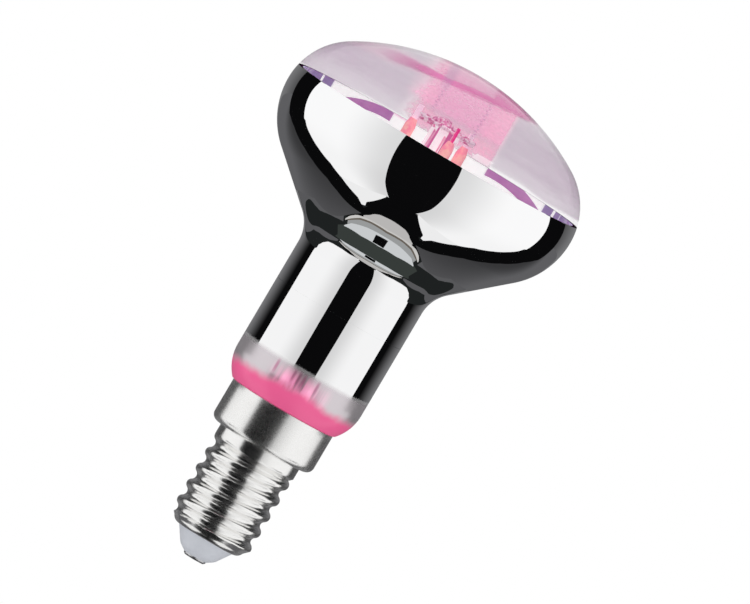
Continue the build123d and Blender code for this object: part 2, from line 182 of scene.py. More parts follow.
SHELF_BACK = [
    (80.0, 42.0), (115.0, 75.0), (60.0, 115.0), (17.0, 60.0), (17.0, 2.0), (15.8, -4.0), (14.2, -7.6),
    (12.2, -9.3), (10.0, -11.2), (8.8, -12.7), (7.9, -14.2), (7.2, -15.3),
]
RUNNER_HALF_WIDTHS = (23.3, 33.9)
RUNNER_END = 18.0
WALL_ENDS = (-110.0, 6.0)
GROUND_CARD = -79.0
FLAG_ENDS = ((-9.4, -13.7), (-2.0, -17.0))
FLAG_TOP = 29.5
GROUND_REACH = 300.0

# Floor, surroundings and the light from above
FLOOR_DROP = 80.0
FLOOR_SIZE = 600.0
FLOOR_STEPS = 96
FLOOR_FADE = 0.3
FLOOR_MIRRORED = 0.88
WORLD_LIGHT = 0.7
KEY_SIZE = 0.5
KEY_POWER = 1.2
KEY_PLACE = (-0.15, -0.25, 0.6)
KEY_AIM = (0.0, 0.0, 0.05)

# Ramps of the cards' light: axis, start, end, level at the start and level at the end
SOFT_BOX_EDGE = (0, PANEL_INNER[0], PANEL_INNER[0] + 17.0, 0.73, 1.0)
SOFT_BOX_LOW = (2, 44.0, 62.0, 0.95, 1.0)
WALL_FADE = (1, 50.0, 105.0, 1.0, 0.86)
BACKDROP_FADE = (1, 0.25 * CARD_DISTANCE, 1.05 * CARD_DISTANCE, 0.0, 0.2)
BACKDROP_LOW = (2, 16.0, 32.0, 0.55, 1.0)
SHELF_FADE = (-28.0, -12.0)
SHELF_LEVELS = (0.04, 0.115)

# Holder below the bell, seen in the throat: right halves of outlines, as angle from the front and radius
HOLDER_HEIGHT = 43.8
HOLDER_LAYER = 0.005
HOLDER_FALL = 0.0501
HOLDER_INNER = 11.15
HOLDER_STEPS = 8
HOLDER_TURN = 2.0
SIGHT_ROUNDS = 40
HOLDER_RING = (
    [(18, 17.4), (26, 17.8), (38, 17.8), (52.6, 18.5), (62, 19.6), (65.5, 20.8), (72, 23.5), (80, 30),
     (87, 50), (180, 50)],
    [(180, HOLDER_INNER)],
)
HOLDER_MIDDLE = ([(58, 14.2)], [(58, HOLDER_INNER)])
HOLDER_DISC = (
    [(0, 17.4), (13, 17.3), (18.7, 17.0), (21.5, 16.65), (27.4, 16.3)],
    [(0, 15.79), (27.4, 16.07)],
)
HOLDER_RIM = (
    [(0, 15.79), (27.4, 16.07), (34.5, 16.06), (42.5, 15.66), (47.5, 15.15)],
    [(0, 15.57), (18, 15.77), (30, 15.74), (40.5, 15.3), (47.5, 14.95)],
)
HOLDER_LINE = (
    [(0, 15.57), (18, 15.77), (30, 15.74), (40.5, 15.3), (44, 15.12)],
    [(0, 15.26), (18, 15.5), (30, 15.45), (40.5, 15.06), (44, 14.95)],
)
HOLDER_STEP = (HOLDER_LINE[1], [(0, 14.64), (20, 14.7), (39, 14.6), (44, 14.4)])
HOLDER_LENS = (
    [(0, 14.64), (20, 14.7), (39, 14.6), (48.5, 14.12)],
    [(0, 12.89), (23.4, 13.13), (48.5, 14.02)],
)
HOLDER_GAP = (
    [(18, 17.4), (26, 17.8), (33, 17.0), (42, 16.2), (46, 15.6)],
    [(0, 15.7), (27, 15.9), (40, 15.7), (46, 15.4)],
)
HOLDER_SHEEN = (
    [(50, 15.8), (61, 18.0), (73, 19.3), (86, 20.3), (103, 23.5), (120, 34), (135, 46), (150, 49)],
    [(50, 14.7), (54, 14.9), (63, 15.4), (72, 16.1), (82, 17.0), (91, 18.1), (100, 20.2), (110, 23.3),
     (120, 26.0), (135, 31), (150, 36)],
)
HOLDER_SPOT = ([(-8.4, 14.3), (6.2, 14.38)], [(-8.4, 13.03), (6.2, 13.02)])


def arc(centre, radius, start, end, steps):
    """Points on a circle around the centre, from one angle to the other in degrees."""
    points = []
    for step in range(steps + 1):
        angle = math.radians(start + (end - start) * step / steps)
        points.append((centre[0] + radius * math.cos(angle), centre[1] + radius * math.sin(angle)))
    return points


def line(start, end, steps):
    """Points along a straight line, both ends included."""
    points = []
    for step in range(steps + 1):
        share = step / steps
        points.append((start[0] + (end[0] - start[0]) * share, start[1] + (end[1] - start[1]) * share))
    return points


def join(*runs):
    """One outline from several runs of points, without the doubled ends."""
    outline = []
    for run in runs:
        for point in run:
            if not outline or math.dist(outline[-1], point) > TINY:
                outline.append(point)
    return outline


def bulb_arcs():
    """Centres of the tangent arcs of the blown glass."""
    slope = math.radians(DOME_ANGLE)
    tilt = math.radians(CONE_ANGLE)
    rim_centre = BULB_RADIUS - RIM_RADIUS
    dome_edge = rim_centre + RIM_RADIUS * math.cos(slope)
    dome_radius = dome_edge / math.cos(slope)
    dome_centre = LAMP_HEIGHT - dome_radius
    widest = dome_centre + dome_radius * math.sin(slope) - RIM_RADIUS * math.sin(slope)
    bell_centre = BULB_RADIUS - BELL_RADIUS
    throat_centre = NECK_RADIUS + THROAT_RADIUS
    cone_top = bell_centre + BELL_RADIUS * math.cos(tilt)
    cone_foot = throat_centre - THROAT_RADIUS * math.cos(tilt)
    cone_drop = (cone_top - cone_foot) / math.tan(tilt)
    throat_height = widest - BELL_RADIUS * math.sin(tilt) - cone_drop - THROAT_RADIUS * math.sin(tilt)
    return {
        "dome": ((0.0, dome_centre), dome_radius),
        "rim": ((rim_centre, widest), RIM_RADIUS),
        "bell": ((bell_centre, widest), BELL_RADIUS),
        "throat": ((throat_centre, throat_height), THROAT_RADIUS),
        "shoulder": ((NECK_RADIUS - SHOULDER_RADIUS, SHOULDER_HEIGHT), SHOULDER_RADIUS),
    }


ARCS = bulb_arcs()


def steps(name, fineness):
    """Steps of a run of the outline, fewer where the surface is hardly seen."""
    return max(3, round(RUN_STEPS[name] * fineness))


def edge_angle(inset):
    """Angle on the rim's arc at which the mirror's edge has its height, this far inside."""
    edge_height = RIM_RADIUS * math.sin(math.radians(FILM_EDGE_ANGLE))
    return math.degrees(math.asin(edge_height / (RIM_RADIUS - inset)))


def dome_run(inset, fineness=1.0):
    """Crown to the top edge of the mirror, this far inside the outer surface."""
    dome, dome_radius = ARCS["dome"]
    rim, rim_radius = ARCS["rim"]
    crown = arc(dome, dome_radius - inset, 90, DOME_ANGLE, steps("dome", fineness))
    crown[0] = (0.0, crown[0][1])
    side = arc(rim, rim_radius - inset, DOME_ANGLE, edge_angle(inset), steps("rim", fineness))
    return join(crown, side)


def bell_run(inset, fineness=1.0):
    """Top edge of the mirror down the bell and the neck to the start of the shoulder."""
    rim, rim_radius = ARCS["rim"]
    bell, bell_radius = ARCS["bell"]
    throat, throat_radius = ARCS["throat"]
    neck = NECK_RADIUS - inset
    return join(
        arc(rim, rim_radius - inset, edge_angle(inset), 0, steps("edge", fineness)),
        arc(bell, bell_radius - inset, 0, -CONE_ANGLE, steps("bell", fineness)),
        arc(throat, throat_radius + inset, 180 - CONE_ANGLE, 180, steps("throat", fineness)),
        line((neck, throat[1]), (neck, SHOULDER_HEIGHT), steps("neck", fineness)),
    )


def shoulder_run(inset, fineness=1.0):
    """Shoulder of the neck, in to the seat on the cap and down the tube end."""
    shoulder, radius = ARCS["shoulder"]
    turn = math.degrees(math.acos((SEAT_RADIUS - shoulder[0]) / radius))
    curve = arc(shoulder, radius - inset, 0, -turn, steps("shoulder", fineness))
    tube = NECK_END_RADIUS - inset
    return join(curve, [(tube, curve[-1][1])], line((tube, curve[-1][1]), (tube, NECK_END_HEIGHT), 4))


def add_mesh(name, points, faces, sharp=SHARP_EDGE):
    """A smooth-shaded mesh object in the scene, from points in millimetres."""
    mesh = bpy.data.meshes.new(name)
    mesh.from_pydata([Vector(point) * MM for point in points], [], faces)
    mesh.validate()
    mesh.polygons.foreach_set("use_smooth", [True] * len(mesh.polygons))
    mesh.set_sharp_from_angle(angle=math.radians(sharp))
    piece = bpy.data.objects.new(name, mesh)
    bpy.context.scene.collection.objects.link(piece)
    return piece


def lathe(name, outline, segments, closed=False, reach=None, sharp=SHARP_EDGE):
    """An outline of (radius, height) turned round the axis. reach may change a radius by its angle."""
    points = []
    rings = []
    for radius, height in outline:
        if radius < TINY:
            rings.append([len(points)] * segments)
            points.append((0.0, 0.0, height))
            continue
        ring = []
        for step in range(segments):
            angle = 2 * math.pi * step / segments
            out = reach(radius, height, angle) if reach else radius
            ring.append(len(points))
            points.append((out * math.cos(angle), out * math.sin(angle), height))
        rings.append(ring)
    faces = []
    pairs = list(zip(rings, rings[1:]))
    if closed:
        pairs.append((rings[-1], rings[0]))
    for upper, lower in pairs:
        for step in range(segments):
            after = (step + 1) % segments
            corners = [upper[step], lower[step], lower[after], upper[after]]
            face = [corner for place, corner in enumerate(corners) if corner not in corners[:place]]
            if len(face) > 2:
                faces.append(face)
    return add_mesh(name, points, faces, sharp)


def new_material(name):
    """A node material: the material, its tree and its main shader."""
    made = bpy.data.materials.new(name)
    made.use_nodes = True
    return made, made.node_tree, made.node_tree.nodes["Principled BSDF"]


def connect(tree, node, inputs):
    """Set a node's inputs to values, or link them to sockets."""
    for key, value in inputs.items():
        if isinstance(value, bpy.types.NodeSocket):
            tree.links.new(value, node.inputs[key])
        else:
            node.inputs[key].default_value = value


def add_node(tree, kind, inputs=None, **settings):
    """A node with its settings and inputs."""
    made = tree.nodes.new(kind)
    for key, value in settings.items():
        setattr(made, key, value)
    connect(tree, made, inputs or {})
    return made


def place_mm(tree):
    """The point's place in the lamp's frame, in millimetres."""
    coords = add_node(tree, "ShaderNodeTexCoord")
    inputs = {0: coords.outputs["Object"], "Scale": 1 / MM}
    return add_node(tree, "ShaderNodeVectorMath", inputs, operation="SCALE").outputs[0]


def split(tree, vector):
    """The three parts of a vector."""
    return add_node(tree, "ShaderNodeSeparateXYZ", {0: vector}).outputs


def step_up(tree, value, start, end):
    """0 below start, 1 above end, smooth between them. It falls where start is the larger."""
    inputs = {"Value": value, "From Min": start, "From Max": end}
    return add_node(tree, "ShaderNodeMapRange", inputs, interpolation_type="SMOOTHSTEP").outputs[0]


def calc(tree, operation, first, second=None):
    """One sum with a number or socket, or with two."""
    inputs = {0: first}
    if second is not None:
        inputs[1] = second
    return add_node(tree, "ShaderNodeMath", inputs, operation=operation).outputs[0]


def product(tree, first, *others):
    """All the numbers or sockets multiplied together."""
    for other in others:
        first = calc(tree, "MULTIPLY", first, other)
    return first


def plus(tree, first, *others):
    """All the numbers or sockets added together."""
    for other in others:
        first = calc(tree, "ADD", first, other)
    return first


def minus(tree, first, second):
    """The first number or socket less the second."""
    return calc(tree, "SUBTRACT", first, second)


def largest(tree, first, *others):
    """The largest of the numbers or sockets."""
    for other in others:
        first = calc(tree, "MAXIMUM", first, other)
    return first


def size_of(tree, value):
    """The number without its sign."""
    return calc(tree, "ABSOLUTE", value)


def band(tree, value, centre, half, soft):
    """1 within half of the centre, falling to 0 over the soft distance beyond."""
    return step_up(tree, size_of(tree, minus(tree, value, centre)), half + soft, half)


def spread(tree, value, low, high):
    """A number from low to high as the value goes from 0 to 1."""
    return add_node(tree, "ShaderNodeMapRange", {"Value": value, "To Min": low, "To Max": high}).outputs[0]


def blend(tree, share, first, second):
    """A colour between two colours or sockets."""
    inputs = {0: share, 6: first, 7: second}
    return add_node(tree, "ShaderNodeMix", inputs, data_type="RGBA").outputs[2]


def grain(tree, vector, scale, stretch=(1.0, 1.0, 1.0), detail=3.0, roughness=0.55):
    """Soft noise from 0 to 1 over the place in millimetres, stretched along the axes."""
    stretched = add_node(tree, "ShaderNodeVectorMath", {0: vector, 1: stretch}, operation="MULTIPLY")
    inputs = {"Vector": stretched.outputs[0], "Scale": scale, "Detail": detail, "Roughness": roughness}
    return add_node(tree, "ShaderNodeTexNoise", inputs).outputs[0]


def bump(tree, shader, height, strength, distance):
    """Fine relief on the shader's normal."""
    inputs = {"Height": height, "Strength": strength, "Distance": distance * MM}
    connect(tree, shader, {"Normal": add_node(tree, "ShaderNodeBump", inputs).outputs[0]})


def rgb(red, green, blue):
    """An opaque colour."""
    return (red, green, blue, 1.0)


def bead_line(tree, across, level, centre, low):
    """A thin zigzag line of beads up the dome."""
    swing = product(tree, calc(tree, "SINE", product(tree, level, BEAD_RATE / 2)), 0.18)
    beads = step_up(tree, calc(tree, "SINE", product(tree, level, BEAD_RATE)), -0.5, 0.4)
    thread = band(tree, plus(tree, across, swing), centre, 0.08, 0.22)
    return product(tree, thread, beads, step_up(tree, level, low, low + 0.6),
                   step_up(tree, level, *BEAD_TOP))


def painted_pink_light_bow(tree, across, level, cloud):
    """A bow of painted deeper pink light across the dome, wider at its right end."""
    above = plus(tree, minus(tree, level, product(tree, across, BOW_SLOPE)), product(tree, cloud, 0.9))
    widening = spread(tree, step_up(tree, across, *BOW_WIDENING), 0.55, 1.0)
    off = product(tree, size_of(tree, minus(tree, above, BOW_LEVEL)), widening)
    fading = spread(tree, step_up(tree, across, *BOW_LEFT), 0.42, 1.0)
    painted_bow = product(tree, step_up(tree, off, *BOW_WIDTH), fading, step_up(tree, across, *BOW_RIGHT))
    end = product(tree, step_up(tree, above, *BOW_END_FOOT), step_up(tree, across, *BOW_END_LEFT),
                  step_up(tree, across, *BOW_END_RIGHT))
    return largest(tree, painted_bow, end)


def pink_haze(tree, across, level, ragged, cloud, mottle):
    """The filaments' light above them: ragged on the left and at its foot, straight on the right."""
    foot = plus(tree, level, product(tree, minus(tree, mottle, 0.5), 2.6), product(tree, cloud, 2.0))
    return product(tree, step_up(tree, ragged, *HAZE_LEFT), step_up(tree, across, *HAZE_RIGHT),
                   step_up(tree, foot, *HAZE_FOOT), spread(tree, mottle, 0.7, 1.2))


def mauve_lines(tree, across, level):
    """Two lines of beads up the dome, and a soft streak above the left one."""
    beads = [bead_line(tree, across, level, centre, low) for centre, low in BEAD_LINES]
    streak = band(tree, across, STREAK_ACROSS, 0.35, 0.8)
    return largest(tree, product(tree, streak, step_up(tree, level, *STREAK_FOOT), 0.8), *beads)


def dome_colour(tree, across, haze, painted_bow, mauve, pale):
    """Lilac glass, and over it the painted pink light of the haze and the bow, the lines and a painted pale
    highlight.
    """
    side = step_up(tree, size_of(tree, minus(tree, across, 0.4)), 3.0, 6.0)
    pink = blend(tree, side, rgb(0.74, 0.17, 0.43), rgb(0.86, 0.22, 0.47))
    colour = blend(tree, haze, rgb(0.22, 0.01, 0.21), pink)
    colour = blend(tree, painted_bow, colour, rgb(0.62, 0.035, 0.31))
    colour = blend(tree, mauve, colour, rgb(0.42, 0.05, 0.3))
    # pale lays the painted white highlight over the rest
    return blend(tree, pale, colour, rgb(0.95, 0.87, 0.92))


def dome_cast(tree, place, level, front_low):
    """How far bare glass veils what is behind it: more at the rim, less low and before the filaments."""
    across, _, height = split(tree, place)
    streaks = grain(tree, place, 0.35, (0.25, 0.25, 3.0))
    facing = add_node(tree, "ShaderNodeLayerWeight", {"Blend": 0.5}).outputs["Facing"]
    rim = product(tree, calc(tree, "POWER", facing, 4.0), step_up(tree, height, *RIM_SHADE), 0.28)
    clear = product(tree, front_low, band(tree, across, 0.4, 6.5, 2.5), 0.7)
    ends = step_up(tree, size_of(tree, across), *CAST_SIDES)
    tilted = plus(tree, minus(tree, level, product(tree, across, 0.015)), product(tree, ends, 0.6))
    cast = product(tree, plus(tree, spread(tree, streaks, 0.225, 0.325), rim), minus(tree, 1.0, clear))
    return product(tree, cast, spread(tree, step_up(tree, tilted, *CAST_FOOT), 0.14, 0.76),
                   spread(tree, step_up(tree, level, *CAST_RISE), 1.0, 1.32))


def dome_glass():
    """Smoky lilac glass with faint streaks, and the filaments' pink light painted on it above them, with a
    painted pink bow and a painted highlight.
    """
    made, tree, shader = new_material("dome_glass")
    place = place_mm(tree)
    across, depth, height = split(tree, place)
    level = plus(tree, height, product(tree, depth, LEVEL_RISE))
    cloud = minus(tree, grain(tree, place, 0.22), 0.5)
    mottle = grain(tree, place, 1.4, detail=5.0, roughness=0.65)
    ragged = plus(tree, across, product(tree, cloud, 5.0), product(tree, mottle, 1.6))
    far = step_up(tree, depth, *FAR_SIDE)
    low = step_up(tree, level, *HAZE_LOW)
    far_low = product(tree, low, far)
    front_low = product(tree, low, minus(tree, 1.0, far))
    haze = pink_haze(tree, across, level, ragged, cloud, mottle)
    haze = product(tree, haze, minus(tree, 1.0, product(tree, front_low, 0.85)))
    # The bow is painted pink light of the filaments on the dome
    painted_bow = painted_pink_light_bow(tree, across, level, cloud)
    mauve = mauve_lines(tree, across, level)
    # pale is a painted white highlight on the front of the dome
    pale = product(tree, band(tree, ragged, HIGHLIGHT_ACROSS, 1.4, 0.4), band(tree, level, HIGHLIGHT_LEVEL, 0.4, 0.3),
                   step_up(tree, depth, 0.0, -5.0))
    veil = largest(tree, product(tree, haze, spread(tree, far_low, 0.5, 0.72)), product(tree, painted_bow, 0.66),
                   product(tree, largest(tree, mauve, pale), 0.55))
    lit = product(tree, haze, spread(tree, step_up(tree, level, *HAZE_CROWN), 0.13, 0.04))
    connect(tree, shader, {
        "Base Color": dome_colour(tree, across, haze, painted_bow, mauve, pale),
        "Alpha": largest(tree, dome_cast(tree, place, level, front_low), veil),
        "Emission Color": rgb(1.0, 0.36, 0.56),
        "Emission Strength": plus(tree, lit, product(tree, haze, far_low, 0.34)),
        "Roughness": 0.05,
        "Specular IOR Level": 0.15,
    })
    return made


def inner_glass():
    """Inner face of the dome, almost clear."""
    made, tree, shader = new_material("inner_glass")
    veil = spread(tree, grain(tree, place_mm(tree), 0.3, (0.3, 0.3, 2.0)), 0.01, 0.05)
    connect(tree, shader, {"Base Color": rgb(0.8, 0.74, 0.8), "Alpha": veil, "Roughness": 0.05})
    return made


def stem_glass():
    """Clear glass of the stem, with white and pink stripes of the filaments' light and swirls at its tip."""
    made, tree, shader = new_material("stem_glass")
    place = place_mm(tree)
    across, _, height = split(tree, place)
    stripes = grain(tree, place, 1.1, (1.0, 1.0, 0.04), detail=2.0)
    swirls = grain(tree, place, 1.3, detail=2.0)
    stripes = blend(tree, step_up(tree, height, *STEM_TIP), stripes, swirls)
    sides = largest(tree, *[band(tree, across, *side) for side in STEM_SIDES])
    pink = step_up(tree, stripes, 0.56, 0.59)
    deep = largest(tree, step_up(tree, stripes, 0.62, 0.68), sides)
    colour = blend(tree, pink, rgb(0.97, 0.95, 0.96), rgb(0.8, 0.28, 0.45))
    colour = blend(tree, deep, colour, rgb(0.55, 0.08, 0.28))
    connect(tree, shader, {
        "Base Color": colour,
        "Emission Color": colour,
        "Emission Strength": 0.35,
        "Alpha": spread(tree, stripes, 0.75, 0.9),
        "Roughness": 0.05,
    })
    return made


def neck_lines(tree, across, height):
    """Thin deep pink lines in the foot of the neck, from the wires behind it."""
    lines = largest(tree, *[band(tree, across, *mark) for mark in NECK_LINES])
    return product(tree, lines, step_up(tree, height, *NECK_LINES_TOP),
                   step_up(tree, height, *NECK_LINES_FOOT), 0.55)


def silvered_glass():
    """Glass with the mirror behind it: bright to the lower edge, then thin and dull, then a painted pink
    glow of the filaments' light, with painted rosy light and a painted glowing shine in the middle.
    """
    made, tree, shader = new_material("silvered_glass")
    place = place_mm(tree)
    across, _, height = split(tree, place)
    wobble = minus(tree, grain(tree, place, 0.5), 0.5)
    silver = step_up(tree, plus(tree, height, product(tree, wobble, 0.2)), *MIRROR_FOOT)
    middle = band(tree, across, 0.3, 2.0, 4.0)
    streaks = grain(tree, place, 0.9, (1.6, 1.6, 0.05))
    rise = plus(tree, product(tree, middle, 0.5), product(tree, wobble, 1.1))
    # pink is a painted glow of the filaments' pink light at the foot of the neck
    pink = step_up(tree, minus(tree, height, rise), *NECK_PINK_GLOW)
    plain = minus(tree, 1.0, pink)
    # rosy is painted pink light in the middle of the neck
    rosy = product(tree, middle, step_up(tree, height, *NECK_ROSY_GLOW), spread(tree, streaks, 1.0, 0.3))
    lines = neck_lines(tree, across, height)
    lower = blend(tree, rosy, rgb(0.7, 0.65, 0.68), rgb(0.62, 0.3, 0.43))
    lower = blend(tree, lines, lower, rgb(0.5, 0.06, 0.24))
    lower = blend(tree, pink, lower, rgb(0.87, 0.095, 0.28))
    # shine is a painted, glowing highlight in streaks below the mirror
    bright = spread(tree, step_up(tree, streaks, 0.35, 0.65), 0.1, 0.7)
    shine = product(tree, middle, step_up(tree, height, *NECK_PAINTED_SHINE), bright, minus(tree, 1.0, silver),
                    minus(tree, 1.0, lines))
    connect(tree, shader, {
        "Base Color": blend(tree, silver, lower, rgb(0.95, 0.95, 0.955)),
        "Metallic": largest(tree, silver, product(tree, plain, 0.75)),
        "Roughness": spread(tree, silver, 0.3, 0.012),
        "Emission Color": rgb(1.0, 0.24, 0.5),
        "Emission Strength": plus(tree, product(tree, shine, plain), product(tree, pink, 0.1)),
    })
    return made


def painted_reflection_patch(tree, along, height, top, peak, fall, half):
    """A curved patch of painted lilac reflection on one side of the mirror's inside, cut off straight
    towards the middle.
    """
    off = minus(tree, along, peak)
    level = plus(tree, height, product(tree, off, off, fall))
    return product(tree, band(tree, level, top, half, 0.08), step_up(tree, along, *PATCH_INNER))


def film_inside():
    """Aluminium inside of the mirror. Under its edge a painted white glow, with painted lilac reflections, a
    painted rosy reflection and a painted darker reflection towards the sides.
    """
    made, tree, shader = new_material("film_inside")
    place = place_mm(tree)
    across, _, height = split(tree, place)
    # left and right are patches of painted lilac reflection
    left = painted_reflection_patch(tree, product(tree, across, -1.0), height, *LEFT_PATCH)
    right = painted_reflection_patch(tree, across, height, *RIGHT_PATCH)
    cuts = grain(tree, place, 1.1, (1.0, 0.0, 0.0), detail=1.0)
    # end paints a darker reflection towards the sides
    end = product(tree, step_up(tree, size_of(tree, across), *PATCH_OUTER), step_up(tree, cuts, 0.66, 0.6))
    cloud = grain(tree, place, 0.5)
    white = blend(tree, cloud, rgb(0.89, 0.96, 0.93), rgb(0.95, 1.0, 0.97))
    # rosy is a painted pink reflection
    rosy = product(tree, band(tree, across, ROSY_ACROSS, 0.9, 0.4), step_up(tree, height, *ROSY_FOOT))
    white = blend(tree, rosy, white, rgb(0.88, 0.6, 0.75))
    tint = blend(tree, cloud, rgb(0.3, 0.11, 0.32), rgb(0.5, 0.22, 0.46))
    colour = blend(tree, largest(tree, left, right), white, tint)
    colour = blend(tree, end, colour, rgb(0.24, 0.18, 0.36))
    # lit makes a painted white glow under the mirror's edge
    lit = step_up(tree, height, *FILM_LIT)
    connect(tree, shader, {
        "Base Color": colour,
        "Emission Color": colour,
        "Emission Strength": product(tree, lit, 0.5),
        "Metallic": minus(tree, 1.0, lit),
        "Roughness": 0.05,
    })
    return made


def satin_nickel():
    """Nickel-plated sheet, satin all over and speckled on the skirt."""
    made, tree, shader = new_material("satin_nickel")
    place = place_mm(tree)
    height = split(tree, place)[2]
    fine = grain(tree, place, 9.0, detail=2.0)
    broad = grain(tree, place, 0.9)
    speckle = product(tree, fine, step_up(tree, height, SKIRT_HEIGHT - 0.5, SKIRT_HEIGHT + 0.5), 0.12)
    connect(tree, shader, {
        "Base Color": blend(tree, broad, rgb(0.88, 0.875, 0.86), rgb(0.97, 0.965, 0.955)),
        "Metallic": 1.0,
        "Roughness": plus(tree, spread(tree, broad, 0.18, 0.25), speckle),
    })
    bump(tree, shader, broad, 0.1, 0.02)
    return made


def moulded(name, dark, light, roughness, scale):
    """A plain moulded or painted surface with a faint mottle and relief."""
    made, tree, shader = new_material(name)
    mottle = grain(tree, place_mm(tree), scale)
    connect(tree, shader, {"Base Color": blend(tree, mottle, dark, light), "Roughness": roughness})
    bump(tree, shader, mottle, 0.15, 0.02)
    return made


def metal(name, dark, light, roughness):
    """A drawn wire or strip of bright metal."""
    made, tree, shader = new_material(name)
    colour = blend(tree, grain(tree, place_mm(tree), 4.0, (1.0, 1.0, 0.2)), dark, light)
    connect(tree, shader, {"Base Color": colour, "Metallic": 1.0, "Roughness": roughness})
    return made


def glowing(name, dark, light, glow, strength, edges=(0.0, 1.0), scale=1.6):
    """A surface that gives off a little light: the filaments' own glow, and a painted glow of the filaments'
    light on the wires.
    """
    made, tree, shader = new_material(name)
    beads = step_up(tree, grain(tree, place_mm(tree), scale, (1.0, 1.0, 0.8)), *edges)
    connect(tree, shader, {
        "Base Color": blend(tree, beads, dark, light),
        "Emission Color": glow,
        "Emission Strength": strength,
        "Roughness": 0.4,
    })
    return made


def finish_piece(piece, materials, nodes=()):
    """Tie a piece to the lamp, its materials and the solids that it stands for."""
    for made in materials:
        piece.data.materials.append(made)
    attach(piece, "root")
    if nodes:
        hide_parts(*nodes)
    return piece


def dress(made, *names):
    """Give solids that stay as they are their material."""
    for name in names:
        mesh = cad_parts[name].data
        mesh.materials.clear()
        mesh.materials.append(made)
        mesh.polygons.foreach_set("use_smooth", [True] * len(mesh.polygons))
        mesh.set_sharp_from_angle(angle=math.radians(30.0))


def build_envelope():
    """The glass: clear dome, and the silvered bell, neck and shoulder below the mirror's edge."""
    outer = join(dome_run(0), bell_run(0), shoulder_run(0))
    inner = join(
        dome_run(GLASS_WALL, INNER_FINENESS),
        bell_run(GLASS_WALL, INNER_FINENESS),
        shoulder_run(GLASS_WALL, INNER_FINENESS),
    )
    piece = lathe("envelope_glass", outer + inner[::-1], SEGMENTS)
    finish_piece(piece, [dome_glass(), silvered_glass(), inner_glass()], ["glass_envelope"])
    edge = dome_run(0)[-1][1] * MM
    seat = shoulder_run(0)[-1][1] * MM
    for face in piece.data.polygons:
        outward = face.normal.dot(face.center - Vector((0.0, 0.0, GLASS_MIDDLE * MM)))
        if seat < face.center.z < edge:
            face.material_index = 1
        elif face.center.z > edge and outward < 0:
            face.material_index = 2


def build_film():
    """The mirror layer's own inside, seen through the dome."""
    outside = FILM_GAP + GLASS_WALL
    inside = outside + FILM_THICKNESS
    runs = []
    for inset in (outside, inside):
        run = join(bell_run(inset, INNER_FINENESS), shoulder_run(inset, INNER_FINENESS))
        runs.append([point for point in run if point[1] > FILM_BOTTOM])
    piece = lathe("coating_film", runs[0] + runs[1][::-1], SEGMENTS, closed=True)
    finish_piece(piece, [film_inside()], ["mirror_coating"])


def knot_glass():
    """Twisted glass at the column's tip, with painted swirls of the filaments' light in white, pink and deep
    pink, glowing a little.
    """
    made, tree, shader = new_material("knot_glass")
    place = place_mm(tree)
    bend = add_node(tree, "ShaderNodeTexNoise", {"Vector": place, "Scale": 0.6}).outputs[1]
    pushed = add_node(tree, "ShaderNodeVectorMath", {0: place, 1: bend}, operation="ADD").outputs[0]
    swirls = grain(tree, pushed, 2.1, (1.0, 1.0, 1.3), detail=2.0)
    # The swirls are painted white highlights and painted pink light of the filaments, and the glass glows a
    # little
    colour = blend(tree, step_up(tree, swirls, 0.4, 0.48), rgb(0.42, 0.05, 0.2), rgb(0.82, 0.3, 0.52))
    colour = blend(tree, step_up(tree, swirls, 0.55, 0.62), colour, rgb(0.98, 0.9, 0.94))
    connect(tree, shader, {
        "Base Color": colour,
        "Emission Color": colour,
        "Emission Strength": 0.2,
        "Alpha": spread(tree, swirls, 0.85, 0.6),
        "Roughness": 0.08,
    })
    return made


def knot_point(fall, turn):
    """A point on the lumpy bead, by its angles from the top and round the axis."""
    lump = 1.0 + KNOT_LUMPS * (math.sin(3 * turn + 2 * fall) * math.sin(fall) + math.sin(4 * fall + turn))
    way = (math.sin(fall) * math.cos(turn), math.sin(fall) * math.sin(turn), math.cos(fall))
    return [middle + half * lump * part for middle, half, part in zip(KNOT_PLACE, KNOT_HALF, way)]


def build_knot():
    """The lumpy bead of glass that holds the support wires at the column's tip."""
    around = 2 * KNOT_RINGS
    points = []
    for ring in range(1, KNOT_RINGS):
        for step in range(around):
            points.append(knot_point(math.pi * ring / KNOT_RINGS, math.pi * step / KNOT_RINGS))
    faces = [list(range(around)), list(range(len(points) - around, len(points)))[::-1]]
    for first in range(0, len(points) - around, around):
        for step in range(around):
            after = (step + 1) % around
            below = first + around
            faces.append([below + step, below + after, first + after, first + step])
    piece = add_mesh("stem_knot", points, faces, sharp=60.0)
    finish_piece(piece, [knot_glass()])


def thread_reach(height, angle):
    """Radius of the round thread's surface at a height and an angle round the cap."""
    turn = (height - THREAD_FIRST_CREST) / THREAD_PITCH - angle / (2 * math.pi)
    off = abs(turn - round(turn)) * THREAD_PITCH
    if off < THREAD_PITCH / 4:
        return THREAD_MAJOR - THREAD_ROUND + math.sqrt(THREAD_ROUND**2 - off**2)
    rest = THREAD_PITCH / 2 - off
    return THREAD_MAJOR - THREAD_DEPTH + THREAD_ROUND - math.sqrt(THREAD_ROUND**2 - rest**2)


def cap_reach(radius, height, angle):
    """The barrel's radius with the thread on it. The thread fades in above the lip."""
    if not THREAD_RUN_OUT[1] < height < COLLAR_HEIGHT or radius < LIP_OPENING + 0.01:
        return radius
    limit = THREAD_RUN_OUT[0] + height - THREAD_RUN_OUT[1]
    return max(radius, min(thread_reach(height, angle), limit))


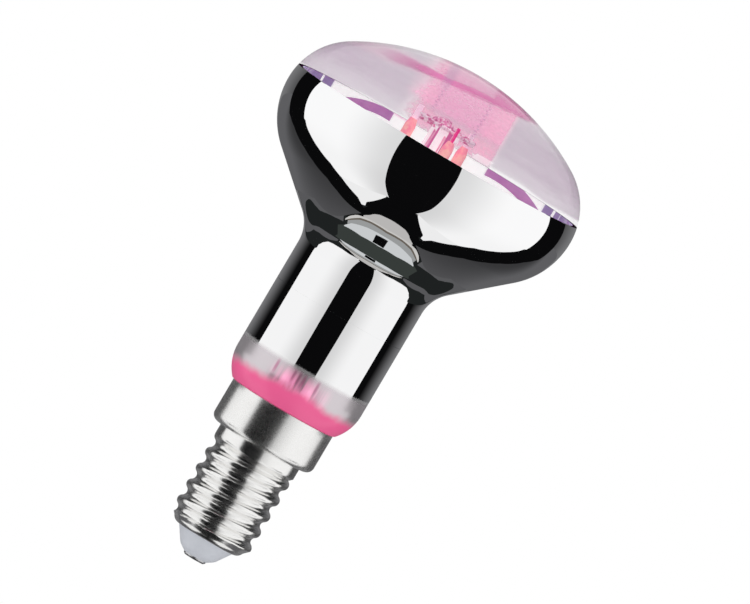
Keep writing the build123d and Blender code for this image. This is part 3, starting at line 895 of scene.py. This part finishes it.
def build_cap():
    """The drawn cap: lip, threaded barrel, collar and skirt, with the sheet's edges."""
    lip = arc((BARREL_RADIUS - LIP_RADIUS, LIP_HEIGHT + LIP_RADIUS), LIP_RADIUS, -90, 0, 16)
    corner = arc((SKIRT_RADIUS - SKIRT_CORNER, SKIRT_HEIGHT + SKIRT_CORNER), SKIRT_CORNER, -90, 0, 14)
    edge = arc((SKIRT_RADIUS - SKIRT_EDGE, SKIRT_TOP - SKIRT_EDGE), SKIRT_EDGE, 0, 180, 8)
    outer = join(
        [(LIP_OPENING - CAP_SHEET, LIP_HEIGHT + CAP_SHEET), (LIP_OPENING - CAP_SHEET, LIP_HEIGHT)],
        lip,
        line((BARREL_RADIUS, lip[-1][1]), (BARREL_RADIUS, COLLAR_FOOT), THREAD_ROWS),
        line((BARREL_RADIUS, COLLAR_FOOT), (COLLAR_RADIUS, COLLAR_HEIGHT), 10),
        line((COLLAR_RADIUS, COLLAR_HEIGHT), (COLLAR_RADIUS, SKIRT_HEIGHT), 4),
        corner,
        line(corner[-1], edge[0], 6),
        edge,
        [(edge[-1][0], SKIRT_HEIGHT + SKIRT_CORNER)],
    )
    piece = lathe("cap_shell", outer, SEGMENTS, reach=cap_reach, sharp=50.0)
    finish_piece(piece, [satin_nickel()], ["screw_cap"])


def dress_filaments():
    """Materials of the glowing filaments and their tails, and of the wires that carry them, painted with the
    filaments' pink light, highlights and glow.
    """
    coat = glowing("filament_phosphor", rgb(0.88, 0.17, 0.33), rgb(0.94, 0.52, 0.42),
                   rgb(1.0, 0.36, 0.42), 0.36, (0.36, 0.62), 0.9)
    dress(coat, *[f"filament_coat_{number}" for number in range(1, 4)])
    pale = glowing("filament_strip_pale", rgb(0.92, 0.55, 0.72), rgb(0.97, 0.85, 0.92),
                   rgb(1.0, 0.7, 0.85), 0.3)
    dress(pale, "filament_strip_1", "filament_strip_2")
    deep = glowing("filament_strip_magenta", rgb(0.68, 0.005, 0.17), rgb(0.78, 0.01, 0.24),
                   rgb(1.0, 0.0, 0.26), 0.32)
    dress(deep, "filament_strip_3")
    # The wires' pink, their white highlights and their glow are painted light of the filaments
    wire = glowing("nickel_wire_pink_glow", rgb(0.72, 0.24, 0.44), rgb(0.92, 0.55, 0.72),
                   rgb(1.0, 0.4, 0.66), 0.15)
    dress(wire, "lead_wire_1", "lead_wire_2", "lower_bridge")
    bridge = glowing("bridge_wire_pink_glow", rgb(0.6, 0.06, 0.26), rgb(0.98, 0.86, 0.92),
                     rgb(1.0, 0.5, 0.72), 0.14, (0.4, 0.56), 1.3)
    dress(bridge, "top_bridge", "support_wire_1", "support_wire_2")


def dress_solids():
    """Materials of the solids that the scene keeps."""
    dress(stem_glass(), "glass_stem")
    dress_filaments()
    dress(moulded("white_plug", rgb(0.63, 0.66, 0.72), rgb(0.71, 0.73, 0.79), 0.45, 1.2), "cap_insulator")
    dress(moulded("grey_cement", rgb(0.5, 0.48, 0.44), rgb(0.62, 0.6, 0.56), 0.8, 2.0), "basing_cement")
    dress(metal("contact_nickel", rgb(0.6, 0.6, 0.61), rgb(0.75, 0.75, 0.76), 0.3), "centre_contact")
    dress(moulded("board_green", rgb(0.03, 0.16, 0.08), rgb(0.05, 0.22, 0.11), 0.45, 1.5), "driver_board")
    resin = moulded("black_resin", rgb(0.015, 0.015, 0.016), rgb(0.03, 0.03, 0.032), 0.5, 3.0)
    dress(resin, "bridge_rectifier", "driver_chip")
    sleeve = moulded("capacitor_sleeve_blue", rgb(0.02, 0.03, 0.08), rgb(0.03, 0.05, 0.12), 0.3, 1.0)
    dress(sleeve, "smoothing_capacitor")
    dress(moulded("resistor_tan", rgb(0.5, 0.34, 0.2), rgb(0.6, 0.42, 0.27), 0.55, 2.0), "fuse_resistor")
    dress(metal("hook_up_copper", rgb(0.72, 0.36, 0.2), rgb(0.86, 0.48, 0.3), 0.25), "neutral_wire")


def card_material(name, colour, *ramps):
    """A dark or pale card. Each ramp changes its level along an axis, alike both ways."""
    made = bpy.data.materials.new(name)
    made.use_nodes = True
    tree = made.node_tree
    tree.nodes.clear()
    light = add_node(tree, "ShaderNodeEmission", {"Color": colour, "Strength": 1.0})
    add_node(tree, "ShaderNodeOutputMaterial", {"Surface": light.outputs[0]})
    levels = []
    for axis, start, end, low, high in ramps:
        place = size_of(tree, split(tree, place_mm(tree))[axis])
        levels.append(spread(tree, step_up(tree, place, start, end), low, high))
    if levels:
        connect(tree, light, {"Strength": product(tree, *levels)})
    return made


def shelf_grey():
    """Dark grey of the shelf, deeper along its front edge."""
    made = card_material("shelf_grey", rgb(1.0, 1.0, 1.05))
    tree = made.node_tree
    across, back, _ = split(tree, place_mm(tree))
    slant = minus(tree, back, product(tree, size_of(tree, across), SHELF_SLOPE))
    level = spread(tree, step_up(tree, slant, *SHELF_FADE), *SHELF_LEVELS)
    connect(tree, tree.nodes["Emission"], {"Strength": level})
    return made


def add_card(name, corners, made, lights_up=False, faces=None):
    """A studio card that only reflections see, and soft light as well where it lights up."""
    piece = add_mesh(name, corners, faces or [list(range(len(corners)))])
    piece.data.materials.append(made)
    piece.visible_camera = False
    piece.visible_transmission = False
    piece.visible_shadow = False
    piece.visible_diffuse = lights_up
    return piece


def upright(first, second, bottom, top):
    """Corners of an upright card between two points on the ground."""
    return [(*first, bottom), (*second, bottom), (*second, top), (*first, top)]


def along_panel(share, side):
    """A point on the ground on the line of the soft box, mirrored for the left side."""
    across = PANEL_INNER[0] + (PANEL_OUTER[0] - PANEL_INNER[0]) * share
    back = PANEL_INNER[1] + (PANEL_OUTER[1] - PANEL_INNER[1]) * share
    return (side * across, back)


def build_side(name, side, white, cream, black, shelf):
    """Soft box, low wall, dark border and shelf on one side of the lamp."""
    inner = along_panel(0.0, side)
    outer = along_panel(PANEL_SHARE, side)
    low = along_panel(LOW_PANEL_SHARE, side)
    border = (side * BORDER_END[0], BORDER_END[1])
    neck_border = (side * NECK_BORDER_END[0], NECK_BORDER_END[1])
    wall = [(side * half, end) for half, end in zip(RUNNER_HALF_WIDTHS, WALL_ENDS)]
    add_card(f"soft_box_{name}", upright(inner, outer, PANEL_BOTTOM, PANEL_TOP), white, lights_up=True)
    ahead = inner[1] + CORNER_GAP
    tip = inner[0] - side * CORNER_WIDTH
    corner = [(inner[0], ahead, CORNER_TOP), (inner[0], ahead, PANEL_BOTTOM), (tip, ahead, PANEL_BOTTOM)]
    add_card(f"soft_box_corner_{name}", corner, white)
    add_card(f"low_soft_box_{name}", upright(outer, low, CARD_BOTTOM, LOW_PANEL_TOP), white)
    add_card(f"low_wall_{name}", upright(*wall, CARD_BOTTOM, PANEL_BOTTOM), cream)
    add_card(f"border_{name}", upright(outer, border, NECK_BORDER_TOP, PANEL_TOP), black)
    add_card(f"neck_border_{name}", upright(outer, neck_border, LOW_PANEL_TOP, NECK_BORDER_TOP), black)
    strip = SHELF_FRONT + SHELF_MIDDLE[::-1]
    add_card(f"shelf_strip_{name}", [(side * x, y, SHELF_HEIGHT) for x, y in strip], black)
    back = SHELF_MIDDLE + SHELF_BACK
    add_card(f"shelf_{name}", [(side * x, y, SHELF_HEIGHT) for x, y in back], shelf)


def turned(run):
    """A run of (angle, radius) points on the other side of the front."""
    return [(-angle, radius) for angle, radius in run[::-1]]


def both_sides(outline):
    """Outer and inner runs on both sides of the front, from their right halves."""
    return [[point for point in turned(run) if point[0]] + run for run in outline]


def follow(run, angle):
    """Radius of a run of (angle, radius) points at an angle."""
    for (start, near), (end, far) in zip(run, run[1:]):
        if angle <= end:
            return near + (far - near) * (angle - start) / (end - start)
    return run[-1][1]


def sight_length(radius, angle):
    """Way from the neck to a point beside it, along the line of sight that the neck mirrors there."""
    low, high = angle / 2, min(angle, math.pi / 2)
    for _ in range(SIGHT_ROUNDS):
        middle = (low + high) / 2
        if radius * math.sin(2 * middle - angle) < NECK_RADIUS * math.sin(middle):
            low = middle
        else:
            high = middle
    return radius * math.cos(2 * low - angle) - NECK_RADIUS * math.cos(low)


def holder_card(name, outline, layer, made):
    """A part of the holder between an outer and an inner run. It falls outwards along the lines of sight."""
    outer, inner = outline
    start, end = outer[0][0], outer[-1][0]
    count = max(4, round((end - start) / HOLDER_TURN))
    points = []
    for step in range(count + 1):
        angle = start + (end - start) * step / count
        turn = math.radians(angle)
        for radius, _ in line((follow(outer, angle), 0), (follow(inner, angle), 0), HOLDER_STEPS):
            fall = HOLDER_FALL * sight_length(radius, abs(turn))
            height = HOLDER_HEIGHT + layer * HOLDER_LAYER - fall
            points.append((radius * math.sin(turn), -radius * math.cos(turn), height))
    row = HOLDER_STEPS + 1
    faces = []
    for step in range(count):
        for first in range(step * row, step * row + HOLDER_STEPS):
            faces.append([first, first + row, first + row + 1, first + 1])
    add_card(name, points, made, faces=faces)


def build_holder(black):
    """Layers of the holder that the throat mirrors: dark ring, sheen, pale disc, rim, lens and spot."""
    dark = card_material("holder_dark", rgb(0.014, 0.016, 0.016))
    holder_card("holder_ring", both_sides(HOLDER_RING), 0, dark)
    dull = card_material("holder_dull", rgb(0.04, 0.047, 0.043))
    holder_card("holder_middle", both_sides(HOLDER_MIDDLE), 1, dull)
    sheen = card_material("holder_sheen", rgb(0.1, 0.1, 0.105))
    holder_card("holder_sheen_right", HOLDER_SHEEN, 2, sheen)
    holder_card("holder_sheen_left", [turned(run) for run in HOLDER_SHEEN], 2, sheen)
    holder_card("holder_gap", both_sides(HOLDER_GAP), 2, black)
    pale = card_material("holder_pale", rgb(0.5, 0.49, 0.48))
    holder_card("holder_disc", both_sides(HOLDER_DISC), 4, pale)
    light = card_material("holder_light", rgb(0.6, 0.59, 0.57))
    holder_card("holder_rim", both_sides(HOLDER_RIM), 4, light)
    brown = card_material("holder_brown", rgb(0.14, 0.12, 0.1))
    holder_card("holder_line", both_sides(HOLDER_LINE), 4, brown)
    grey = card_material("holder_grey", rgb(0.33, 0.34, 0.34))
    holder_card("holder_step", both_sides(HOLDER_STEP), 4, grey)
    white = card_material("holder_white", rgb(0.6, 0.62, 0.63))
    holder_card("holder_lens", both_sides(HOLDER_LENS), 4, white)
    holder_card("holder_spot", HOLDER_SPOT, 8, black)


def build_ground(black, grey):
    """The dark runner between the low walls, and the dull ground behind the lamp."""
    near, wide = RUNNER_HALF_WIDTHS
    half = [(near, -GROUND_REACH), (near, WALL_ENDS[0]), (wide, WALL_ENDS[1]), (wide, RUNNER_END)]
    runner = half + [(-x, y) for x, y in half[::-1]]
    add_card("runner", [(x, y, GROUND_CARD) for x, y in runner], black)
    ends = [(-GROUND_REACH, RUNNER_END), (GROUND_REACH, RUNNER_END)]
    behind = ends + [(GROUND_REACH, GROUND_REACH), (-GROUND_REACH, GROUND_REACH)]
    add_card("back_ground", [(x, y, GROUND_CARD) for x, y in behind], grey)


def build_studio():
    """Soft boxes, dark cards, the holder and what lies on the ground between them."""
    white = card_material("soft_box_white", rgb(1.0, 1.0, 1.0), SOFT_BOX_EDGE, SOFT_BOX_LOW)
    cream = card_material("low_wall_white", rgb(0.88, 0.88, 0.88), WALL_FADE)
    black = card_material("card_black", rgb(0.003, 0.003, 0.0033))
    grey = card_material("card_grey", rgb(0.09, 0.09, 0.095))
    dusk = card_material("backdrop_grey", rgb(1.0, 1.0, 1.03), BACKDROP_FADE, BACKDROP_LOW)
    shelf = shelf_grey()
    for name, side in (("left", -1), ("right", 1)):
        build_side(name, side, white, cream, black, shelf)
    front = [along_panel(0.0, side) for side in (-1, 1)]
    add_card("front_card", upright(*front, CARD_BOTTOM, PANEL_TOP), black)
    add_card("cap_flag", upright(*FLAG_ENDS, 0.0, FLAG_TOP), black)
    back = arc((0.0, 0.0), CARD_DISTANCE, *CARD_SWEEP, CARD_STEPS)
    for place, (first, second) in enumerate(zip(back, back[1:])):
        add_card(f"back_card_{place}", upright(first, second, CARD_BOTTOM, PANEL_TOP), dusk)
    build_ground(black, grey)
    build_holder(black)
    build_floor()


def build_floor():
    """A pale floor below the lamp, white to reflections, that fades into the white surroundings."""
    made, tree, shader = new_material("pale_floor")
    connect(tree, shader, {"Base Color": rgb(0.85, 0.85, 0.85), "Roughness": 0.9})
    outline = arc((0.0, 0.0), FLOOR_SIZE, 0, 360, FLOOR_STEPS)[:-1]
    floor = add_mesh("floor", [(x, y, -FLOOR_DROP) for x, y in outline], [list(range(len(outline)))])
    floor.data.materials.append(made)
    rays = add_node(tree, "ShaderNodeLightPath").outputs
    inputs = {0: place_mm(tree), 1: (1.0, 1.0, 0.0)}
    flat = add_node(tree, "ShaderNodeVectorMath", inputs, operation="MULTIPLY")
    away = add_node(tree, "ShaderNodeVectorMath", {0: flat.outputs[0]}, operation="LENGTH").outputs["Value"]
    distant = step_up(tree, away, FLOOR_FADE * FLOOR_SIZE, FLOOR_SIZE)
    seen = largest(tree, rays["Is Glossy Ray"], rays["Is Transmission Ray"], distant)
    strength = spread(tree, rays["Is Glossy Ray"], 1.0, FLOOR_MIRRORED)
    white = add_node(tree, "ShaderNodeEmission", {"Color": rgb(1, 1, 1), "Strength": strength})
    mixed = add_node(tree, "ShaderNodeMixShader", {0: seen, 1: shader.outputs[0], 2: white.outputs[0]})
    connect(tree, tree.nodes["Material Output"], {0: mixed.outputs[0]})


def build_world():
    """White to the camera, to reflections and through glass, and a plain even light on the lamp."""
    world = bpy.data.worlds.new("studio_world")
    bpy.context.scene.world = world
    world.use_nodes = True
    tree = world.node_tree
    tree.nodes.clear()
    rays = add_node(tree, "ShaderNodeLightPath").outputs
    seen = largest(tree, rays["Is Camera Ray"], rays["Is Glossy Ray"], rays["Is Transmission Ray"])
    even = add_node(tree, "ShaderNodeBackground", {"Color": rgb(1, 1, 1), "Strength": WORLD_LIGHT})
    white = add_node(tree, "ShaderNodeBackground", {"Color": rgb(1, 1, 1), "Strength": 1.0})
    mixed = add_node(tree, "ShaderNodeMixShader", {0: seen, 1: even.outputs[0], 2: white.outputs[0]})
    add_node(tree, "ShaderNodeOutputWorld", {"Surface": mixed.outputs[0]})


def add_key_light():
    """A broad soft lamp from above, which reflections don't see."""
    lamp = bpy.data.lights.new("overhead", "AREA")
    lamp.shape = "DISK"
    lamp.size = KEY_SIZE
    lamp.energy = KEY_POWER
    key = bpy.data.objects.new("overhead", lamp)
    key.location = KEY_PLACE
    key.rotation_euler = (Vector(KEY_AIM) - key.location).to_track_quat("-Z", "Y").to_euler()
    key.visible_camera = False
    key.visible_glossy = False
    key.visible_transmission = False
    bpy.context.scene.collection.objects.link(key)


def add_camera():
    """The photograph's view: a little above the lamp, rolled so that the lamp leans to the right."""
    tilt = math.radians(VIEW_ELEVATION)
    lean = math.radians(VIEW_LEAN)
    ahead = Vector((0.0, math.cos(tilt), -math.sin(tilt)))
    level = Vector((1.0, 0.0, 0.0))
    upward = Vector((0.0, math.sin(tilt), math.cos(tilt)))
    right = level * math.cos(lean) + upward * math.sin(lean)
    top = upward * math.cos(lean) - level * math.sin(lean)
    centre = Vector(VIEW_CENTRE) * MM
    shot = bpy.data.cameras.new("camera")
    shot.sensor_fit = "HORIZONTAL"
    shot.sensor_width = SENSOR_WIDTH
    shot.lens = SENSOR_WIDTH * VIEW_DISTANCE / (FRAME_WIDTH / PIXELS_PER_MM * MM)
    shot.clip_start, shot.clip_end = CLIP_RANGE
    camera = bpy.data.objects.new("camera", shot)
    turn = Matrix((right, top, -ahead)).transposed().to_4x4()
    camera.matrix_world = Matrix.Translation(centre - ahead * VIEW_DISTANCE) @ turn
    bpy.context.scene.collection.objects.link(camera)
    bpy.context.scene.camera = camera


build_envelope()
build_film()
build_knot()
build_cap()
dress_solids()
build_studio()
build_world()
add_key_light()
add_camera()
bpy.context.scene.view_settings.view_transform = "Standard"
